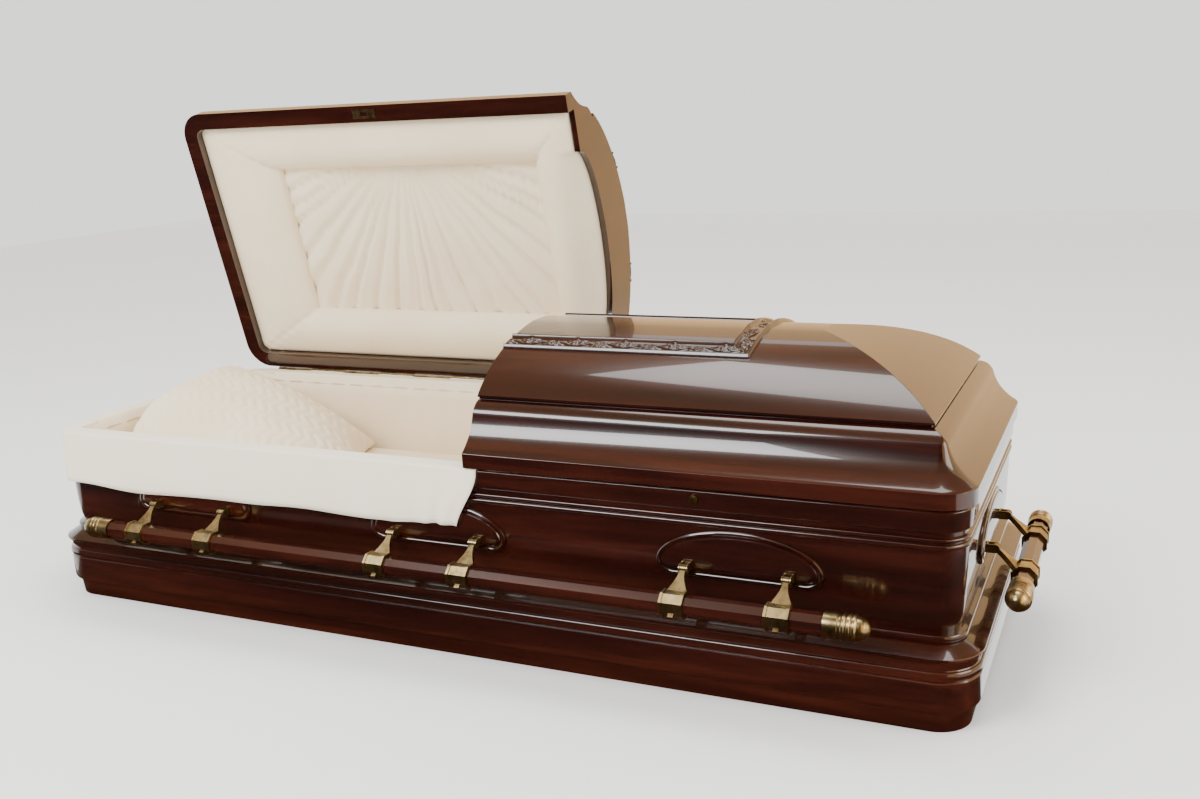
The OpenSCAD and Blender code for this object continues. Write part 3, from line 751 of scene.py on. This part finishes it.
around = outline(LINING, 0.020)
around.append(around[0])
rows = []
for k in range(9):
    z = 0.030 + (0.3915 - 0.030) * k / 8
    row, long, last = [], 0.0, around[0]
    for q in around:
        long += math.hypot(q[0] - last[0], q[1] - last[1])
        last = q
        row.append(lining_point(q, z, long))
    rows.append(row)
lining = cloth("wall_lining", rows, CREPE, 0.0012)
stand_for(lining, "casket", "crepe", "side_lining")


def drape_station(p, z_hem, folds):
    """One vertical line of the drape: up the inside, over the rim and down the outside."""
    nx, ny = p[2], p[3]
    top_z, turn_z = 0.3955, 0.3913
    path = []
    for k in range(5):
        path.append((-0.0405, 0.372 + (0.3925 - 0.372) * k / 4))
    for k in range(7):
        a = math.radians(180 - 90 * k / 6)
        path.append((-0.0375 + 0.0030 * math.cos(a), 0.3927 + 0.0028 * math.sin(a)))
    for k in range(1, 7):
        path.append((-0.0375 + 0.0355 * k / 6, top_z))
    for k in range(1, 8):
        a = math.radians(90 - 90 * k / 7)
        path.append((-0.0020 + 0.0042 * math.cos(a), turn_z + 0.0042 * math.sin(a)))
    for k in range(1, 11):
        t = k / 10
        z = turn_z + (z_hem - turn_z) * t
        path.append((0.0022 + folds * smooth_step(0.1, 0.9, t), z))
    return [(p[0] + nx * d, p[1] + ny * d, z) for d, z in path]


def front_drape():
    ring_pts = outline(0.0240, 0.010)
    x_right = 0.108
    front = [q for q in ring_pts if q[3] < -0.999 and q[0] <= x_right]
    corner = [q for q in ring_pts if q[0] < -0.96 and q[1] < -0.246 and q[3] >= -0.999]
    # round the corner by falling Y, then along the front by X
    line = sorted(set(corner + front),
                  key=lambda q: (q[3] <= -0.999, q[0] if q[3] <= -0.999 else -q[1]))
    rows, long = [], 0.0
    last = line[0]
    for q in line:
        long += math.hypot(q[0] - last[0], q[1] - last[1])
        last = q
        near_end = smooth_step(0.34, 0.02, x_right - q[0])
        fold = (0.0022 * (1 + wave(long * 9, 0, 0.3))
                + near_end * 0.0040 * (1 + math.sin(long * 88 + 0.9 * math.sin(long * 21))))
        hem = 0.2665 + 0.0065 * (1 + wave(long * 5.2, 0, 1.1)) + 0.004 * near_end
        pts = drape_station(q, hem, fold)
        lean = smooth_step(0.16, 0.0, x_right - q[0]) * 0.052
        rows.append([(x - lean * smooth_step(0.392, 0.262, z), y, z) for x, y, z in pts])
    return cloth("front_drape", rows, VELVET, 0.0016)


drape = front_drape()
stand_for(drape, "casket", "velvet", "rim_drape")


# cloth over the rim at the head end and along the back, up to the hinge
def rim_cover():
    ring_pts = outline(0.0620, 0.007)
    # the foot lid hides the rest of the rim, so the cover stops at the cut
    head = [q for q in ring_pts if q[2] < -0.999 and q[1] > -0.284]
    turn = [q for q in ring_pts if q[2] < 0.001 and q[3] > 0.001 and q[2] >= -0.999 and q[0] < -0.9]
    back = [q for q in ring_pts if q[3] > 0.999 and q[0] < 0.070]
    line = (sorted(head, key=lambda q: q[1]) + sorted(turn, key=lambda q: q[3])
            + sorted(back, key=lambda q: q[0]))
    rows, long, last = [], 0.0, line[0]
    for q in line:
        long += math.hypot(q[0] - last[0], q[1] - last[1])
        last = q
        row = []
        for k in range(12):
            t = k / 11
            d = -0.0062 + 0.0370 * t
            z = 0.3720 + 0.0236 * smooth_step(0.0, 0.20, t) + 0.0003 * math.sin(long * 60) * t
            row.append((q[0] + q[2] * d, q[1] + q[3] * d, min(z, 0.3962)))
        rows.append(row)
    return cloth("rim_cover", rows, CREPE, 0.0010)


cover = rim_cover()
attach(cover, "casket")

# ---- handle plates: a half-oval with an ogee edge and a sunk line round the field ----

PLATE_W, PLATE_H, PLATE_FOOT = 0.313, 0.092, 0.228
PLATE_EDGE = [(0.0, -0.3385), (0.0, -0.3440), (0.0010, -0.3466), (0.0030, -0.3480),
              (0.0052, -0.3482), (0.0070, -0.3472), (0.0082, -0.3452), (0.0094, -0.3450),
              (0.0104, -0.3462), (0.0122, -0.3490), (0.0146, -0.3500), (0.0200, -0.3503)]


def plate_ring(rim):
    w, low, mid = PLATE_W / 2 - rim, PLATE_FOOT + rim, PLATE_FOOT + 0.025
    top, c = PLATE_FOOT + PLATE_H - rim, 0.026
    out = []
    for k in range(49):
        a = math.pi * k / 48
        out.append((w * math.cos(a), mid + (top - mid) * math.sin(a)))
    for k in range(1, 9):
        a = math.radians(180 + 90 * k / 8)
        out.append((-w + c + c * math.cos(a), mid + (mid - low) * math.sin(a)))
    for k in range(8):
        a = math.radians(270 + 90 * k / 8)
        out.append((w - c + c * math.cos(a), mid + (mid - low) * math.sin(a)))
    return out


def build_plate(node_name, side, x0):
    verts, faces, m = [], [], 0
    for rim, y in PLATE_EDGE:
        pts = plate_ring(rim)
        m = len(pts)
        verts += [(x0 + x, y, z) for x, z in pts]
    for i in range(len(PLATE_EDGE) - 1):
        for k in range(m):
            j = (k + 1) % m
            faces.append((i * m + k, (i + 1) * m + k, (i + 1) * m + j, i * m + j))
    last = (len(PLATE_EDGE) - 1) * m
    faces.append(tuple(range(last + m - 1, last - 1, -1)))
    faces.append(tuple(range(m)))
    shift = 0.0 if side % 2 == 0 else HL - HW
    turn = math.radians(90 * side)
    c, e = math.cos(turn), math.sin(turn)
    verts = [(x * c - (y - shift) * e, x * e + (y - shift) * c, z) for x, y, z in verts]
    ob = mesh_object("moulded_" + node_name, verts, faces, WOOD_DARK, 30)
    return stand_for(ob, "casket", "plate_wood", node_name)


for side, where in ((0, "front"), (2, "back")):
    flip = 1 if side == 0 else -1
    for part, x in (("head", -0.628), ("mid", 0.0), ("foot", 0.628)):
        build_plate("plate_%s_%s" % (where, part), side, x * flip)
build_plate("plate_foot_end", 1, 0.0)
build_plate("plate_head_end", 3, 0.0)

# ---- hardware: CAD shapes with softened edges and brass ----

for name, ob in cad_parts.items():
    if ob.hide_render:
        continue
    brass_part = any(s in name for s in ("lugs", "arm_", "cap_", "keyhole", "hinge", "latch"))
    if brass_part:
        mat = BRASS
    elif name.endswith("_bar"):
        mat = WOOD_ENDS if "end_bar" in name else WOOD
    elif name.startswith("plate_"):
        mat = WOOD_DARK
    else:
        continue
    ob.data.materials.clear()
    ob.data.materials.append(mat)
    b = ob.modifiers.new("edge", "BEVEL")
    b.width = 0.0012 if "plate" in name or "bar" in name else 0.0006
    b.segments = 2
    b.limit_method = "ANGLE"
    b.angle_limit = math.radians(32)

# ---- stage and light ----

floor = mesh_object("floor_plane", [(-9, -9, 0), (9, -9, 0), (9, 9, 0), (-9, 9, 0)],
                    [(0, 1, 2, 3)], material("floor", (0.93, 0.93, 0.92), 0.8)[0])
floor.location.z = -0.0005
floor.visible_glossy = False


def area_light(name, pos, target, size, power, color=(1, 1, 1)):
    d = bpy.data.lights.new(name, "AREA")
    d.shape = "RECTANGLE"
    d.size, d.size_y = size
    d.energy = power
    d.color = color
    o = bpy.data.objects.new(name, d)
    bpy.context.scene.collection.objects.link(o)
    o.location = pos
    o.rotation_euler = (Vector(target) - Vector(pos)).to_track_quat("-Z", "Y").to_euler()


area_light("key", (-1.5, -3.4, 3.4), (0, 0, 0.4), (2.6, 1.8), 190)
area_light("side", (4.2, -0.6, 1.9), (0.4, 0, 0.5), (2.2, 2.2), 70, (1, 0.93, 0.84))
area_light("top", (0.3, 0.6, 4.2), (0, 0, 0.5), (3.2, 1.6), 80)


def card(name, corners, color, glow):
    """A studio card outside the view that the gloss reflects; it isn't part of the object."""
    m, _, b = material(name, color, 1.0)
    b.inputs["Specular IOR Level"].default_value = 0.0
    b.inputs["Emission Color"].default_value = (*color, 1)
    b.inputs["Emission Strength"].default_value = glow
    o = mesh_object(name, corners, [(0, 1, 2, 3)], m)
    o.visible_camera = False
    o.visible_shadow = False
    o.visible_diffuse = False


card("front_card", [(-12, -7, -4), (12, -7, -4), (12, -7, 7), (-12, -7, 7)],
     (0.012, 0.008, 0.006), 1.0)
card("under_card", [(-12, -7, -3.9), (12, -7, -3.9), (12, 7, -3.9), (-12, 7, -3.9)],
     (0.030, 0.014, 0.008), 1.0)
card("end_card", [(6, -7, -1), (6, 6, -1), (6, 6, 5.5), (6, -7, 5.5)], (0.62, 0.40, 0.20), 1.0)
card("back_card", [(-12, 8, -1), (12, 8, -1), (12, 8, 6.5), (-12, 8, 6.5)],
     (0.50, 0.32, 0.16), 1.0)
card("roof_card", [(-12, -7, 6.5), (12, -7, 6.5), (12, 7, 6.5), (-12, 7, 6.5)],
     (0.17, 0.11, 0.060), 1.0)

world = bpy.data.worlds.new("studio")
bpy.context.scene.world = world
world.use_nodes = True
world.node_tree.nodes["Background"].inputs["Color"].default_value = (1, 0.99, 0.97, 1)
world.node_tree.nodes["Background"].inputs["Strength"].default_value = 1.55
